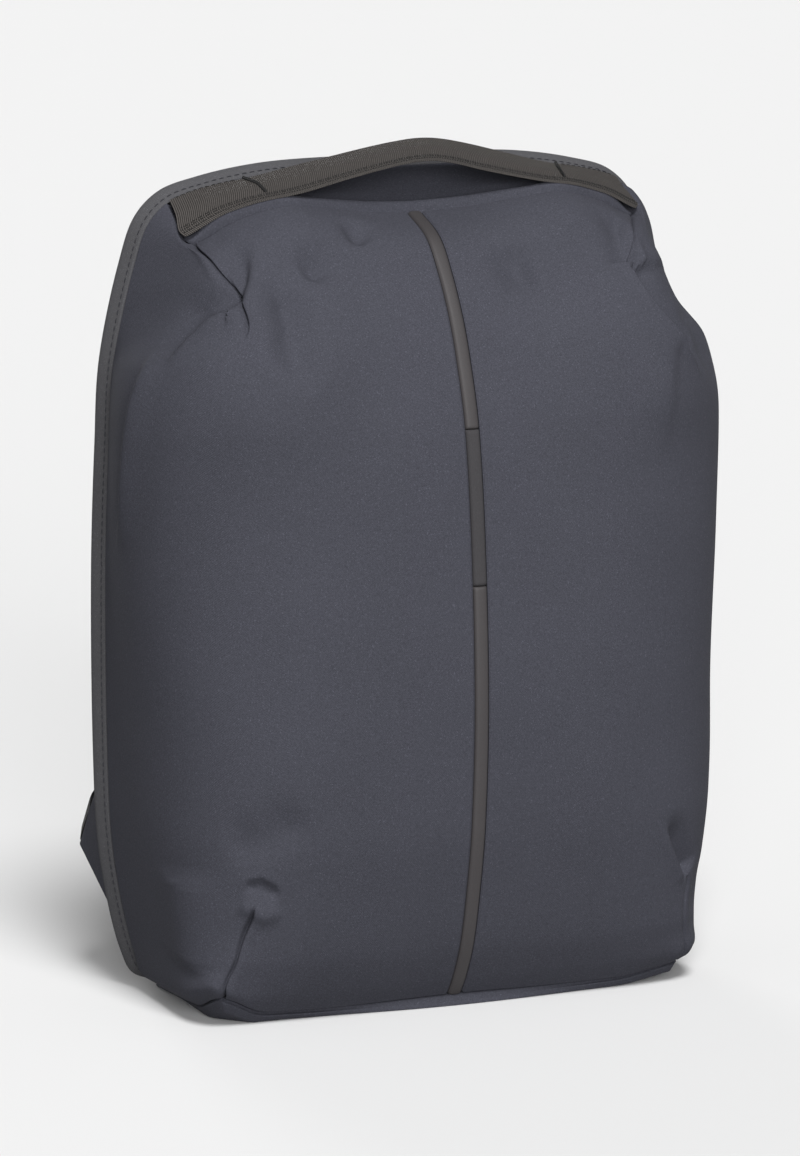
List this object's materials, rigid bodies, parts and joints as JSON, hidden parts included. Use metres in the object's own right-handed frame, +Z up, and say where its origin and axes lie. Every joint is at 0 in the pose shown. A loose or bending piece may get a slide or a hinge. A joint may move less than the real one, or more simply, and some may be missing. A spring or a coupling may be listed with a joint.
{
  "type": "anti-theft laptop backpack",
  "caption": "Soft rectangular laptop backpack with a smooth dart-shaped front, centre reflective strip, hidden zip band, webbing top handle and padded shoulder straps.",
  "frame": {"origin": "on the floor under the bag, in the middle of its base across X and halfway between the front's fullest point and the back panel's outer face", "axes": "+Z up, -Y towards the front with the strip, +Y towards the wearer's back, +X to the right seen from the front"},
  "size_m": [0.3338, 0.203, 0.4522],
  "materials": {
    "shell_fabric": "matte dark blue-grey coated weave",
    "band_fabric": "matte dark blue-grey coated weave, topstitched",
    "reflective_tape": "smooth warm grey reflective tape",
    "label": "dark woven tape, blank",
    "handle_webbing": "ribbed grey webbing",
    "padding_fabric": "padded dark mesh fabric",
    "strap_tape": "black webbing",
    "buckle_plastic": "black moulded plastic"
  },
  "bodies": {
    "root": {"front_panel_left": "shell_fabric", "front_panel_right": "shell_fabric", "reflective_strip_lower": "reflective_tape", "reflective_strip_upper": "reflective_tape", "strip_label": "label", "top_panel": "shell_fabric", "bottom_panel": "shell_fabric", "back_band": "band_fabric", "back_panel": "padding_fabric", "handle": "handle_webbing", "shoulder_strap_left": "padding_fabric", "shoulder_strap_right": "padding_fabric", "ladder_buckle_left": "buckle_plastic", "ladder_buckle_right": "buckle_plastic", "strap_webbing_left": "strap_tape", "strap_webbing_right": "strap_tape", "strap_wing_left": "shell_fabric", "strap_wing_right": "shell_fabric"}
  },
  "joints": []
}
